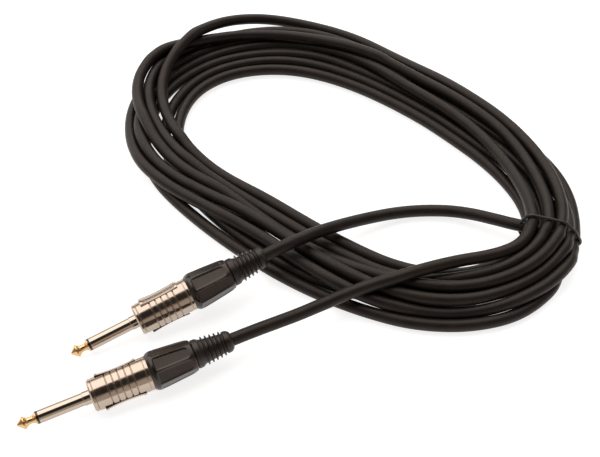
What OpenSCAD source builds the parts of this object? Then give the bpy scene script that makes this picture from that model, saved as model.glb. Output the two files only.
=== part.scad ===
// Instrument cable: two straight 6.35 mm two-pole plugs on a coiled, screened cable with a tie.
// Millimetres, +Z up. The cable lies on the plane z = 0.
// Each plug is built along its own +X axis, from the tip to the boot, with x = 0 at the
// rear face of its metal shell, and is then laid in its place.

/* [Plug finger] */
// Diameter of the finger
finger_d = 6.35; // [6.3:0.01:6.4]
// Length of the finger, from its point to its shoulder
finger_l = 31.75; // [30:0.25:34]
// Length of the tip contact in front of the insulating ring
tip_l = 9.4; // [8.5:0.1:10]
// Width of the insulating ring behind the tip
ring_w = 1.0; // [0.6:0.1:1.6]
// Diameter of the tip's neck
neck_d = 3.5; // [3.2:0.1:4.4]
// Diameter of the rod that carries the tip's signal through the sleeve
rod_d = 2.0; // [1.6:0.1:2.4]
// Wall of the insulating tube around the rod
rod_tube_wall = 0.6; // [0.4:0.1:0.8]
// Diameter of the shoulder that comes out of the shell
shoulder_d = 6.9; // [6.7:0.1:7.8]
// Length of the shoulder in front of the shell
shoulder_l = 3.5; // [2:0.25:5]

/* [Shell] */
// Length of the metal shell
shell_l = 29; // [27:0.5:34]
// Diameter of the shell behind its front rim
shell_front_d = 15.8; // [15.4:0.1:17]
// Diameter of the shell at its rear face
shell_rear_d = 17; // [16.8:0.1:18.5]
// Thickness of the shell's front wall
front_wall = 2; // [1.5:0.1:3]
// Diameter of the chamber behind the front wall
chamber_d = 12.8; // [12.4:0.1:13]
// Number of grooves around the shell
groove_count = 5; // [3:1:6]
// Distance between grooves
groove_pitch = 3.15; // [2.4:0.05:3.3]
// Distance from the front face to the first groove
groove_start = 8.4; // [7:0.1:9]
// Width of a groove
groove_w = 0.8; // [0.6:0.1:1.4]
// Depth of a groove
groove_depth = 0.4; // [0.2:0.05:0.6]
// Length of each of the two raised grip panels
panel_l = 20; // [14:0.5:21]
// Width of a grip panel
panel_w = 7; // [5:0.1:8]
// Height of a grip panel's ends above the shell's rear diameter
panel_rise = 0.7; // [0.6:0.05:1.2]
// How far a grip panel's middle lies below its ends
panel_saddle = 0.6; // [0.2:0.05:0.6]
// Distance between the ribs of a grip panel
rib_pitch = 0.8; // [0.7:0.05:1.6]
// Depth of the cuts between the ribs
rib_depth = 0.3; // [0.15:0.05:0.3]

/* [Inside the shell] */
// Thickness of the sleeve's flange behind the front wall
flange_t = 2; // [1.5:0.1:2.5]
// Thickness of the two solder lugs
lug_t = 0.6; // [0.5:0.05:0.8]
// Width of the ground lug's tab
ground_tab_w = 5; // [4:0.1:5.5]
// Length of the ground lug's tab
ground_tab_l = 10.5; // [8:0.5:11]
// Length of the insulating block behind the sleeve
block_l = 3.4; // [2.5:0.1:4]
// Diameter of the insulating block
block_d = 8; // [7:0.1:8.2]
// Length of the tip lug's tab
tip_tab_l = 4.6; // [3.5:0.1:4.8]
// Width of the tip lug's tab
tip_tab_w = 3.2; // [2.6:0.1:4]
// Wall of the insulating liner inside the shell
liner_wall = 0.4; // [0.3:0.05:0.5]

/* [Bushing] */
// Length of the bushing behind the shell
bushing_l = 22.6; // [20:0.2:26]
// Largest diameter of the bushing
bushing_d = 19.4; // [18.8:0.1:20.4]
// Diameter of the bushing at its front face
bushing_front_d = 17.4; // [17:0.1:18]
// Diameter of the bushing at its rear face
bushing_rear_d = 15; // [14.6:0.1:16]
// Number of flat facets around the bushing
facet_count = 8; // [6:1:10]
// Distance from the axis to a facet near the front
facet_front_r = 9.0; // [8.8:0.05:9.3]
// Distance from the axis to a facet near the rear
facet_rear_r = 7.75; // [7.4:0.05:8]
// Length of the threaded spigot that screws into the shell
spigot_l = 7.5; // [6:0.5:9]
// Outer diameter of the spigot, at the crests of its thread
spigot_d = 13.8; // [13.4:0.1:14]
// Pitch of the thread
thread_pitch = 1; // [0.75:0.25:1.5]
// Angle at which the closed bushing stops
bushing_rest = 14; // [0:1:44]

/* [Boot] */
// Length of the boot behind the bushing
boot_l = 19.2; // [17:0.2:24]
// Diameter of the boot at the bushing
boot_front_d = 14.5; // [14:0.1:15]
// Diameter of the boot's body at its last rib
boot_rear_d = 9.4; // [9:0.1:10.6]
// Number of ribs
boot_rib_count = 5; // [3:1:6]
// Distance between ribs
boot_rib_pitch = 2.2; // [1.9:0.05:2.5]
// Distance from the bushing to the first rib
boot_rib_start = 4.8; // [4:0.1:5.4]
// Height of a rib above the boot's body
boot_rib_rise = 1.2; // [0.6:0.05:1.3]
// How far the boot's body steps in behind its front collar
boot_step = 0.8; // [0.5:0.05:1]
// Thickness of a rib
boot_rib_t = 1.0; // [0.7:0.05:1.4]
// Diameter of the collar at the boot's end
boot_collar_d = 10.9; // [10.2:0.1:12]
// Gap that shows between the bushing and the boot
seam_gap = 0.3; // [0.1:0.05:0.5]

/* [Cable] */
// Outside diameter of the jacket
cable_d = 6.5; // [6:0.1:7]
// Diameter of the insulated core
core_d = 2.4; // [2:0.1:2.6]
// Diameter of the bare conductor at the tip lug
conductor_d = 1.0; // [0.6:0.1:1.2]
// Diameter of the twisted screen at the ground lug
screen_d = 1.6; // [1.2:0.1:1.8]

/* [Tie] */
// Width of the loop around the coil, inside
tie_inside_w = 27; // [25:0.5:30]
// Height of the loop around the coil, inside
tie_inside_h = 14.5; // [14:0.25:20]
// Radius of the loop's inside corners
tie_corner_r = 6.5; // [4:0.25:6.75]
// Thickness of the band
tie_t = 1.2; // [0.8:0.1:1.6]
// Width of the band
tie_w = 2.2; // [1.6:0.1:3]

/* [Clearances] */
// Gap between parts that stand still against each other
fit_gap = 0.05; // [0.02:0.01:0.1]
// Gap all round between the thread's crests and the shell's bore
thread_gap = 0.1; // [0.05:0.01:0.15]
// Gap all round between the turning bushing and the boot's neck
turn_gap = 0.08; // [0.04:0.01:0.1]
// Gap all round between the jacket and the boot that slides on it
slide_gap = 0.1; // [0.05:0.01:0.2]

/* [Hidden] */

// Where each plug lies: the place of x = 0 on its axis, then how far it is rolled about its
// axis, how far its boot is lifted and which way it points.
plug_a_at = [-62.5, 11.6, 12.6];
plug_a_turn = [-30, 8.3, 27.3];
plug_b_at = [-78.9, -31.6, 9.5];
plug_b_turn = [-59, 3, 23.8];
round_fn = 96;

// Stations along a plug, from the tip to the boot
shell_front = -shell_l;
shoulder_front = shell_front - shoulder_l;
tip_end = shoulder_front - finger_l;
tip_back = tip_end + tip_l;
ring_back = tip_back + ring_w;
flange_front = shell_front + front_wall;
flange_back = flange_front + flange_t;
washer_back = flange_back + lug_t;
block_back = washer_back + block_l;
rod_end = block_back + lug_t;
tab_end = rod_end + tip_tab_l;
ground_tab_end = washer_back + ground_tab_l;
finger_r = finger_d / 2;
rod_r = rod_d / 2;
tube_r = rod_r + rod_tube_wall;
chamber_r = chamber_d / 2;
cable_r = cable_d / 2;

// The chuck stands on the step between the chamber and the threaded bore
chuck_flange_t = 1;
chuck_wall = 1.75;
chuck_tail_wall = 0.95;
chuck_tail = 5;
chuck_slot_w = 1.2;
chuck_slot_count = 4;
bore_front = -spigot_l - chuck_flange_t - 0.5;
bore_r = spigot_d / 2 + thread_gap;
chuck_front = bore_front;
chuck_r = cable_r + chuck_wall;
chuck_tail_r = cable_r + chuck_tail_wall;
chuck_taper = -2;
jacket_front = bore_front - 0.8;

// The boot's neck turns in the bushing's rear bore
neck_l = 6;
neck_r = 5;
neck_flange_r = 6;
neck_flange_l = 1.8;
neck_lead = 1.1;
neck_front = bushing_l - neck_l;
neck_flange_front = neck_front + neck_lead;

// The twisted screen leaves the jacket beside the core and lies against the ground lug's tab
ground_tab_z = 4.2;
screen_r = screen_d / 2;
screen_lap = 4;
screen_sides = 12;
washer_r = chamber_r - liner_wall - 3 * fit_gap;
screen_low = core_d / 2 + screen_r + 0.15;
screen_high = ground_tab_z - screen_r;

// ---- Helpers ----

// A solid turned about +X, from a list of [radius, x]
module turned(profile) {
    rotate([0, 90, 0]) rotate_extrude($fn = round_fn) polygon(profile);
}

// A round bar along +X
module bar(radius, from, to) {
    translate([from, 0, 0]) rotate([0, 90, 0]) cylinder(r = radius, h = to - from, $fn = round_fn);
}

// Lays a plug's piece in its place
module laid(at, turn) {
    translate(at) rotate([0, 0, turn[2]]) rotate([0, -turn[1], 0]) rotate([turn[0], 0, 0])
        children();
}

// The same without the roll, for pieces that are round or have a stop of their own
module laid_level(at, turn) {
    translate(at) rotate([0, 0, turn[2]]) rotate([0, -turn[1], 0]) children();
}

function unit(v) = v / norm(v);
function along(p, i) = unit(p[min(i + 1, len(p) - 1)] - p[max(i - 1, 0)]);

// A tube along a line of points that never runs straight up
module tube(p, radius, sides) {
    rings = [for (i = [0:len(p) - 1])
        let (t = along(p, i), side = unit(cross(t, [0, 0, 1])), up = cross(side, t))
        for (k = [0:sides - 1]) p[i] + radius * (cos(k * 360 / sides) * side
                                                 + sin(k * 360 / sides) * up)];
    last = (len(p) - 1) * sides;
    polyhedron(rings, concat(
        [[for (k = [0:sides - 1]) k]],
        [for (i = [0:len(p) - 2], k = [0:sides - 1])
            [i * sides + k, (i + 1) * sides + k, (i + 1) * sides + (k + 1) % sides,
             i * sides + (k + 1) % sides]],
        [[for (k = [sides - 1:-1:0]) last + k]]));
}

// ---- Plug finger ----

// A point of a round corner: centre, radius and angle
function arc_points(centre, radius, from, to, steps) =
    [for (i = [0:steps]) centre + radius * [cos(from + (to - from) * i / steps),
                                            sin(from + (to - from) * i / steps)]];

// The head is a cone with a round point and a round edge, and the neck flares out to the land
point_r = 0.9;
point_start = -60;
cone_angle = -35;
head_back = 70;
head_at = 3.3;
head_edge = 0.55;
neck_at = 5.3;
neck_l_tip = 1.5;
flare_l = 1.9;
land_l = 0.4;

module tip_contact() {
    neck_tip_r = neck_d / 2;
    rise = finger_r - neck_tip_r;
    color("goldenrod") turned(concat(
        [[0, tip_end]],
        arc_points([0, tip_end + point_r], point_r, point_start, cone_angle, 4),
        arc_points([finger_r - head_edge, tip_end + head_at], head_edge, cone_angle, head_back, 8),
        [[neck_tip_r, tip_end + neck_at],
         [neck_tip_r, tip_end + neck_at + neck_l_tip],
         [neck_tip_r + rise * 0.25, tip_back - land_l - flare_l * 0.5],
         [neck_tip_r + rise * 0.75, tip_back - land_l - flare_l * 0.2],
         [finger_r, tip_back - land_l],
         [finger_r, tip_back],
         [rod_r, tip_back],
         [rod_r, rod_end],
         [0, rod_end]]));
}

module tip_ring() {
    color("black") turned([[rod_r, tip_back], [finger_r - fit_gap, tip_back],
        [finger_r - fit_gap, ring_back], [rod_r, ring_back]]);
}

module sleeve() {
    color("silver") turned([[tube_r, ring_back], [finger_r, ring_back], [finger_r, shoulder_front],
        [shoulder_d / 2 - 0.3, shoulder_front], [shoulder_d / 2, shoulder_front + 0.3],
        [shoulder_d / 2, flange_front], [chamber_r - fit_gap, flange_front],
        [chamber_r - fit_gap, flange_back], [tube_r, flange_back]]);
}

module rod_tube() {
    color("ivory") turned([[rod_r, ring_back], [tube_r, ring_back], [tube_r, washer_back],
        [rod_r, washer_back]]);
}

// ---- Inside the shell ----

module insulator() {
    color("ivory") turned([[rod_r, washer_back], [block_d / 2, washer_back],
        [block_d / 2, block_back], [rod_r, block_back]]);
}

module ground_lug() {
    color("gainsboro") {
        difference() {
            bar(washer_r, flange_back, washer_back);
            bar(tube_r, flange_back - 1, washer_back + 1);
        }
        translate([washer_back, -ground_tab_w / 2, ground_tab_z])
            cube([ground_tab_l, ground_tab_w, lug_t]);
    }
}

module tip_lug() {
    color("gainsboro") {
        difference() {
            bar(tip_tab_w / 2 + 0.8, block_back, rod_end);
            bar(rod_r, block_back - 1, rod_end + 1);
        }
        translate([rod_end, -tip_tab_w / 2, -conductor_d / 2 - lug_t])
            cube([tip_tab_l, tip_tab_w, lug_t]);
    }
}

module core() {
    color("white") {
        bar(conductor_d / 2, rod_end + 0.3, tab_end + 0.3);
        bar(core_d / 2, tab_end + 0.3, jacket_front);
    }
}

// Runs along the ground lug's tab, slants down and enters the jacket beside the core
module screen() {
    color("peru") tube([[ground_tab_end - screen_lap, 0, screen_high],
        [ground_tab_end + 0.3, 0, screen_high], [jacket_front - 1, 0, screen_low],
        [jacket_front, 0, screen_low]], screen_r, screen_sides);
}

module liner() {
    outer = chamber_r - fit_gap;
    color("aliceblue") turned([[outer - liner_wall, flange_back], [outer, flange_back],
        [outer, bore_front], [outer - liner_wall, bore_front]]);
}

// ---- Shell ----

rim_l = 1.7;
rim_chamfer = 0.7;
edge_r = 0.35;
function shell_r(x) = shell_rear_d / 2 + (shell_front_d - shell_rear_d) / 2 * -x / shell_l;

// A square groove around the shell, from x to x + w
function groove(x, w, depth) =
    [[shell_r(x), x], [shell_r(x) - depth, x + 0.15 * w],
     [shell_r(x) - depth, x + 0.85 * w], [shell_r(x + w), x + w]];

module shell() {
    hole_r = shoulder_d / 2 + fit_gap;
    outside = concat(
        [[shell_r(shell_front) - rim_chamfer, shell_front],
         [shell_r(shell_front), shell_front + rim_chamfer]],
        groove(shell_front + rim_l, 0.6, 0.3),
        [for (i = [0:groove_count - 1])
            each groove(shell_front + groove_start + i * groove_pitch, groove_w, groove_depth)],
        groove(-2, 0.5, 0.2),
        [[shell_r(-edge_r), -edge_r], [shell_r(0) - edge_r, 0]]);
    inside = [[bore_r, 0], [bore_r, bore_front], [chamber_r, bore_front],
        [chamber_r, flange_front], [hole_r, flange_front], [hole_r, shell_front]];
    color("lightgray") {
        turned(concat(outside, inside));
        for (side = [0, 180]) rotate([side, 0, 0]) grip_panel();
    }
}

// A pad with ribs across it that stands out of the shell over the grooves. Its top is a saddle.
module grip_panel() {
    top = shell_rear_d / 2 + panel_rise;
    back = -4.4;
    front = back - panel_l;
    middle = (front + back) / 2;
    saddle_r = (pow(panel_l / 2, 2) + pow(panel_saddle, 2)) / (2 * panel_saddle);
    frame_w = 0.5;
    rib_count = floor((panel_l - 2.4) / rib_pitch);
    cut_w = rib_pitch * 0.45;
    cuts_l = (rib_count - 1) * rib_pitch + cut_w;
    function saddle(x) = saddle_r - sqrt(pow(saddle_r, 2) - pow(x - middle, 2));
    intersection() {
        difference() {
            bar(top, front, back);
            bar(chamber_r + 0.9, front - 1, back + 1);
            translate([middle, 0, top - panel_saddle + saddle_r]) rotate([90, 0, 0])
                cylinder(r = saddle_r, h = panel_w + 2, center = true, $fn = 4 * round_fn);
            for (i = [0:rib_count - 1])
                let (x = front + (panel_l - cuts_l) / 2 + i * rib_pitch)
                    translate([x, frame_w - panel_w / 2, top - panel_saddle + saddle(x) - rib_depth])
                        cube([cut_w, panel_w - 2 * frame_w, 2]);
        }
        translate([front - 1, -panel_w / 2, 0]) cube([panel_l + 2, panel_w, top + 1]);
    }
}

// ---- Clamp on the jacket ----

module chuck() {
    color("dimgray") difference() {
        turned([[cable_r, chuck_front], [bore_r - fit_gap, chuck_front],
            [bore_r - fit_gap, chuck_front + chuck_flange_t], [chuck_r, chuck_front + chuck_flange_t],
            [chuck_r, chuck_taper], [chuck_tail_r, chuck_tail], [cable_r, chuck_tail]]);
        for (i = [0:chuck_slot_count / 2 - 1])
            rotate([i * 360 / chuck_slot_count, 0, 0])
                translate([chuck_front + chuck_flange_t + 1.5, -chuck_slot_w / 2, -chuck_r - 1])
                    cube([chuck_tail - chuck_front, chuck_slot_w, 2 * chuck_r + 2]);
    }
}

// ---- Bushing ----

module bushing() {
    seat_gap = 0.15;
    cavity_r = chuck_r + seat_gap;
    seat_r = chuck_tail_r + seat_gap;
    cable_hole_r = cable_r + 0.35;
    body_r = bushing_d / 2;
    front_r = bushing_front_d / 2;
    rear_r = bushing_rear_d / 2;
    swell = 3.2;
    outside = [
        [spigot_d / 2 - 0.4, -spigot_l], [spigot_d / 2, -spigot_l + 0.4], [spigot_d / 2, fit_gap],
        [front_r - 0.3, fit_gap], [front_r, 0.35], [front_r + (body_r - front_r) * 0.6, swell * 0.4],
        [body_r - 0.1, swell * 0.8], [body_r, swell * 1.3], [body_r - 0.15, bushing_l * 0.42],
        [body_r - 0.6, bushing_l * 0.68], [body_r - 1.2, bushing_l * 0.86],
        [rear_r + 0.25, bushing_l - 0.9], [rear_r - 0.1, bushing_l - seam_gap - 0.25],
        [rear_r - 0.4, bushing_l - seam_gap]];
    inside = [
        [neck_r + turn_gap, bushing_l - seam_gap],
        [neck_r + turn_gap, neck_flange_front + neck_flange_l + turn_gap],
        [neck_flange_r + turn_gap, neck_flange_front + neck_flange_l + turn_gap],
        [neck_flange_r + turn_gap, neck_flange_front - turn_gap],
        [neck_r + turn_gap, neck_flange_front - turn_gap],
        [neck_r + turn_gap, neck_front - turn_gap], [cable_hole_r, neck_front - turn_gap],
        [cable_hole_r, chuck_tail + seat_gap], [seat_r, chuck_tail + seat_gap],
        [cavity_r, chuck_taper], [cavity_r, -spigot_l]];
    lean = atan2(facet_front_r - facet_rear_r, bushing_l - 2 * swell);
    color("#1c1a19") rotate([bushing_rest, 0, 0]) difference() {
        turned(concat(outside, inside));
        for (i = [0:facet_count - 1]) rotate([i * 360 / facet_count, 0, 0])
            translate([swell, -bushing_d / 2, facet_front_r]) rotate([0, lean, 0])
                cube([bushing_l - swell - 1.6, bushing_d, bushing_d / 2]);
    }
}

// ---- Boot ----

module boot() {
    front = bushing_l;
    front_r = boot_front_d / 2;
    rear_r = boot_rear_d / 2;
    hole_r = cable_r + slide_gap;
    ribs_l = (boot_rib_count - 1) * boot_rib_pitch;
    collar = front + boot_rib_start + ribs_l + boot_rib_t + 0.5;
    end = front + boot_l;
    end_edge = 1.6;
    step_r = front_r - boot_step;
    function body_r(x) = step_r + (rear_r - step_r) * (x - front) / (collar - front);
    function rib(x) = [[body_r(x), x], [body_r(x) + boot_rib_rise, x + 0.25 * boot_rib_t],
        [body_r(x) + boot_rib_rise, x + 0.75 * boot_rib_t],
        [body_r(x + boot_rib_t), x + boot_rib_t]];
    color("#171514") turned(concat(
        [[hole_r, neck_front], [neck_r, neck_front], [neck_r, neck_flange_front],
         [neck_flange_r, neck_flange_front], [neck_flange_r, neck_flange_front + neck_flange_l],
         [neck_r, neck_flange_front + neck_flange_l], [neck_r, front],
         [front_r - 0.3, front], [front_r, front + 0.4], [front_r - 0.15, front + 2.4],
         [body_r(front + 3.6) + 0.2, front + 3.6]],
        [for (i = [0:boot_rib_count - 1]) each rib(front + boot_rib_start + i * boot_rib_pitch)],
        [[body_r(collar), collar], [boot_collar_d / 2 - 0.2, collar + 0.3]],
        arc_points([boot_collar_d / 2 - end_edge, end - end_edge - 0.2], end_edge, 0, 70, 5),
        [[hole_r, end]]));
}

// ---- Cable ----

// A point on a plug's axis, in the model's frame
function on_axis(at, turn, x) =
    at + x * [cos(turn[1]) * cos(turn[2]), cos(turn[1]) * sin(turn[2]), sin(turn[1])];

// The cable is straight until the boot has room to slide back
straight_end = bushing_l + boot_l + spigot_l + 3;
tube_sides = 12;
lead_a_route = [[-8, 40.5, 19.4], [0, 46, 17.8], [9, 51.5, 15.4], [19, 57.7, 11.8], [30, 64, 8],
    [41, 69, 5.2], [52, 71.8, 3.8], [63, 72.7, 3.4], [74, 72.2, 3.5], [85, 69.5, 4.2],
    [95, 64.6, 5.6], [104, 58.4, 7], [113, 52.5, 7]];
lead_b_route = [[-20, -5.2, 11.8], [-9, -1, 12.6], [3, 3, 15.2], [15, 8, 16.9], [27, 13.9, 16.8],
    [39, 20.6, 15], [51, 27.8, 12.9], [63, 33.8, 10.9], [75, 37.2, 9.8], [86, 38.2, 9.4],
    [96, 40.4, 9.6], [104, 43.7, 10], [111, 46.5, 10]];

module lead(at, turn, route) {
    start = [for (x = [jacket_front, 0, 16, 32, straight_end]) on_axis(at, turn, x)];
    color("#26211f") tube(concat(start, route), cable_r, tube_sides);
}

// The coil every 15 degrees about its centre: inner edge, outer edge, top and underside
coil_at = [15, 115];
coil_inner = [70, 57, 51, 47, 46, 47, 50, 57, 68, 81, 92, 95,
              82, 70, 62, 58, 59, 61, 67, 80, 96, 107, 112.5, 94];
coil_outer = [114, 98, 87, 83, 83, 89, 100, 118, 133, 135, 136, 130,
              118, 108, 98, 93, 95, 101, 110, 122, 136, 143, 137, 129];
coil_top = [15, 14, 13, 13, 13, 13, 13, 13, 15, 18, 18, 16,
            14, 13, 13, 13, 13, 13, 13, 14, 15, 15, 15.3, 15];
tie_lift = tie_t + fit_gap;
coil_low = [0, 0, 0, 0, 0, 0, 0, 0, 0, 0, 0, 0,
            0, 0, 0, 0, 0, 0, 0, 0, 0, tie_lift, tie_lift, tie_lift];

// A value of a closed list between two of its places
function ring_value(list, i) =
    let (n = len(list), k = floor(i), t = i - k,
         a = list[(k + n - 1) % n], b = list[k % n], c = list[(k + 1) % n], d = list[(k + 2) % n])
    0.5 * (2 * b + (c - a) * t + (2 * a - 5 * b + 4 * c - d) * t * t
           + (3 * b - a - 3 * c + d) * t * t * t);

module coil() {
    stations = len(coil_inner);
    rings = 2 * stations;
    sides = 16;
    points = [for (j = [0:rings - 1])
        let (i = j * stations / rings, angle = 360 * j / rings,
             near = ring_value(coil_inner, i), far = ring_value(coil_outer, i),
             low = max(ring_value(coil_low, i), 0), high = ring_value(coil_top, i))
        for (k = [0:sides - 1])
            let (c = cos(k * 360 / sides), s = sin(k * 360 / sides),
                 r = (near + far) / 2 + (far - near) / 2 * sign(c) * pow(abs(c), 0.7))
            [coil_at[0] + r * cos(angle), coil_at[1] + r * sin(angle),
             (low + high) / 2 + (high - low) / 2 * sign(s) * pow(abs(s), 0.7)]];
    faces = [for (j = [0:rings - 1], k = [0:sides - 1])
        let (a = j * sides + k, b = ((j + 1) % rings) * sides + k,
             c = ((j + 1) % rings) * sides + (k + 1) % sides, d = j * sides + (k + 1) % sides)
        [a, b, c, d]];
    color("#26211f") polyhedron(points, faces);
}

// ---- Tie ----

tie_at = [123.5, 53];
tie_angle = -13;

// A rectangle with round corners that stands on y = low
module rounded(w, h, r, low) {
    translate([-w / 2, low]) {
        translate([r, 0]) square([w - 2 * r, h]);
        translate([0, r]) square([w, h - 2 * r]);
        for (x = [r, w - r], y = [r, h - r]) translate([x, y]) circle(r, $fn = round_fn);
    }
}

module tie() {
    color("#1a1817") translate([tie_at[0], tie_at[1], 0]) rotate([0, 0, tie_angle])
        rotate([90, 0, 0]) linear_extrude(tie_w, center = true) difference() {
            rounded(tie_inside_w + 2 * tie_t, tie_inside_h + 2 * tie_t, tie_corner_r + tie_t, 0);
            rounded(tie_inside_w, tie_inside_h, tie_corner_r, tie_t);
        }
}

// ---- The whole ----

laid(plug_a_at, plug_a_turn) tip_contact();  // tip_a
laid(plug_a_at, plug_a_turn) tip_ring();  // tip_ring_a
laid(plug_a_at, plug_a_turn) sleeve();  // sleeve_a
laid(plug_a_at, plug_a_turn) rod_tube();  // rod_tube_a
laid(plug_a_at, plug_a_turn) insulator();  // insulator_a
laid(plug_a_at, plug_a_turn) ground_lug();  // ground_lug_a
laid(plug_a_at, plug_a_turn) tip_lug();  // tip_lug_a
laid(plug_a_at, plug_a_turn) core();  // core_a
laid(plug_a_at, plug_a_turn) screen();  // screen_a
laid(plug_a_at, plug_a_turn) liner();  // liner_a
laid(plug_a_at, plug_a_turn) shell();  // shell_a
laid(plug_a_at, plug_a_turn) chuck();  // chuck_a
laid_level(plug_a_at, plug_a_turn) bushing();  // bushing_a
laid_level(plug_a_at, plug_a_turn) boot();  // boot_a
laid(plug_b_at, plug_b_turn) tip_contact();  // tip_b
laid(plug_b_at, plug_b_turn) tip_ring();  // tip_ring_b
laid(plug_b_at, plug_b_turn) sleeve();  // sleeve_b
laid(plug_b_at, plug_b_turn) rod_tube();  // rod_tube_b
laid(plug_b_at, plug_b_turn) insulator();  // insulator_b
laid(plug_b_at, plug_b_turn) ground_lug();  // ground_lug_b
laid(plug_b_at, plug_b_turn) tip_lug();  // tip_lug_b
laid(plug_b_at, plug_b_turn) core();  // core_b
laid(plug_b_at, plug_b_turn) screen();  // screen_b
laid(plug_b_at, plug_b_turn) liner();  // liner_b
laid(plug_b_at, plug_b_turn) shell();  // shell_b
laid(plug_b_at, plug_b_turn) chuck();  // chuck_b
laid_level(plug_b_at, plug_b_turn) bushing();  // bushing_b
laid_level(plug_b_at, plug_b_turn) boot();  // boot_b
lead(plug_a_at, plug_a_turn, lead_a_route);  // lead_a
lead(plug_b_at, plug_b_turn, lead_b_route);  // lead_b
coil();
tie();
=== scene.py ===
# %% [markdown]
# # An instrument cable
# The cable carries the weak signal of a guitar or keyboard to an amplifier. It has a straight
# 6.35 mm plug at each end, and it is wound up with a thin rubber band around the coil. The packed
# CAD model is the fixed frame: it holds every piece at its real size, and each mesh below dresses
# one of its nodes in the same place.

# %% Load the frame
import math

import bpy
import numpy as np
from mathutils import Matrix, Vector


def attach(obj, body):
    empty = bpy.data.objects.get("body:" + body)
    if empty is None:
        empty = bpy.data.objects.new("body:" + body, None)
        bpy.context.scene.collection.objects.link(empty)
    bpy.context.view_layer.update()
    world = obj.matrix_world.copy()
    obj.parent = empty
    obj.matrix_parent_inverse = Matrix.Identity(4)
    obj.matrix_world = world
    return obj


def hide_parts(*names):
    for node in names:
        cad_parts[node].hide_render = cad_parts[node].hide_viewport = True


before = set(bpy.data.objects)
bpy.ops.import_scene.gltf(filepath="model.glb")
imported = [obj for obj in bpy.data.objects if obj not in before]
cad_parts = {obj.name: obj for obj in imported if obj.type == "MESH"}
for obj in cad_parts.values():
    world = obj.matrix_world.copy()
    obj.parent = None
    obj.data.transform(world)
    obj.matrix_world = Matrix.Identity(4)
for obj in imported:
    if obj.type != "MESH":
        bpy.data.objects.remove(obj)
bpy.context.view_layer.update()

MM = 0.001

# %% [markdown]
# ## The camera
# A coil on a table is best seen from above and in front, where its loops read as ellipses. A
# 60 mm lens on a 36 mm sensor, half a metre away, keeps the plugs in proportion.

# %% Camera
CAMERA_AT = Vector((-8, -273, 420)) * MM
LOOK_DOWN = 51.34

camera = bpy.data.cameras.new("camera")
camera.lens = 60
camera.sensor_width = 36
camera_object = bpy.data.objects.new("camera", camera)
camera_object.location = CAMERA_AT
camera_object.rotation_euler = (math.radians(90 - LOOK_DOWN), 0, 0)
bpy.context.scene.collection.objects.link(camera_object)
bpy.context.scene.camera = camera_object
print("camera height in mm:", CAMERA_AT.z / MM)

# %% [markdown]
# ## Where the plugs lie
# Each plug is built along its own +X axis, with x = 0 at the rear face of its metal shell. Three
# turns lay it down: the roll about its axis, the lift of its boot end, and the way it points.
# One matrix does that for all of a plug's pieces, so they can't come apart.

# %% Plug places
PLUGS = {
    "a": {"at": (-62.5, 11.6, 12.6), "roll": -30, "lift": 8.3, "heading": 27.3},
    "b": {"at": (-78.9, -31.6, 9.5), "roll": -59, "lift": 3, "heading": 23.8},
}


def laid(end, rolled=True):
    """The matrix that lays a plug's piece in its place."""
    plug = PLUGS[end]
    matrix = Matrix.Translation(plug["at"])
    matrix = matrix @ Matrix.Rotation(math.radians(plug["heading"]), 4, "Z")
    matrix = matrix @ Matrix.Rotation(math.radians(-plug["lift"]), 4, "Y")
    if rolled:
        matrix = matrix @ Matrix.Rotation(math.radians(plug["roll"]), 4, "X")
    return matrix


def on_axis(end, x):
    """A point on a plug's axis, in millimetres."""
    return list(laid(end) @ Vector((x, 0, 0)))


for end in PLUGS:
    print("plug", end, "is clamped to its cable at", [round(v, 1) for v in on_axis(end, -9.8)])

# %% [markdown]
# ## The cable's route
# A real cable has one length and doesn't pass through itself. So one centreline runs from plug b
# through eight turns to plug a. The two free ends keep close to the CAD model's own points. Each
# turn is one row of places: how far out the cable lies at fourteen places around the coil, and
# whether it lies on the table, on a turn (u), on two turns (t), or hidden below (l). A loop turns
# the rows into a line. The distances hold along the camera's line of sight, at 8 mm above the
# table, because a turn that lies higher looks farther away.

# %% Route of the two free ends and the turns
CABLE = 6.5
ON_TABLE = CABLE / 2
STRAIGHT = (-9.8, 0, 16, 32, 52.3)
LEAD_A = (
    (-8, 40.5, 19.4), (0, 46, 17.8), (9, 51.5, 15.4), (19, 57.7, 11.8), (30, 64, 8),
    (41, 69, 5.2), (52, 71.8, 3.8), (63, 72.7, 3.4), (74, 72.2, 3.5), (85, 69.5, 4.2),
    (95, 64.8, 5.6), (103.6, 60.8, 6.5), (108.8, 58.6, 7.5), (114.2, 56.4, 9), (119.6, 53.2, 10),
)
LEAD_B = (
    (-20, -5.2, 11.8), (-9, -1, 12.6), (3, 3, 15.2), (15, 8, 16.9), (27, 13.5, 16.8),
    (39, 19.2, 15), (51, 25.3, 12.9), (63, 30.8, 10.9), (75, 34.8, 9.8), (86, 37.2, 9.4),
    (96, 40, 9.6), (104, 43.6, 10),
)
HIDDEN_BEND = ((120.5, 21.8), (124.8, 30.5), (127, 40), (124.8, 47.5))
COIL_AT = (15, 115)
PLACES = (330, 345, 360, 390, 420, 450, 480, 510, 540, 570, 600, 630, 660, 675)
TURNS = (
    "115u 98u 85u 68u 64u 84u 102u 118l 109u 76u 69u 87u 120u 131u",
    "134u 121l 98l 73l 68l 82l 104l 128l 117u 85u 77u 96u 129u 137u",
    "134l 128l 104l 80l 76l 92l 109l 127u 94u 66u 63u 76 106u 117u",
    "122u 110u 99u 79u 73u 86u 110u 133u 101u 70u 67u 80u 111u 122u",
    "128u 120u 107u 84u 81u 97u 128u 120t 86u 62u 58 70 108l 117l",
    "115l 93l 72 53 49 56 76 97 90l 73l 76l 92l 114l 121l",
    "121l 106 79u 60u 56u 64u 86l 104l 100l 85l 85l 101l 122l 130l",
    "128l 116 93l 66l 61 74u 91u 112 114 95 92 107 135l 141l",
)
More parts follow.
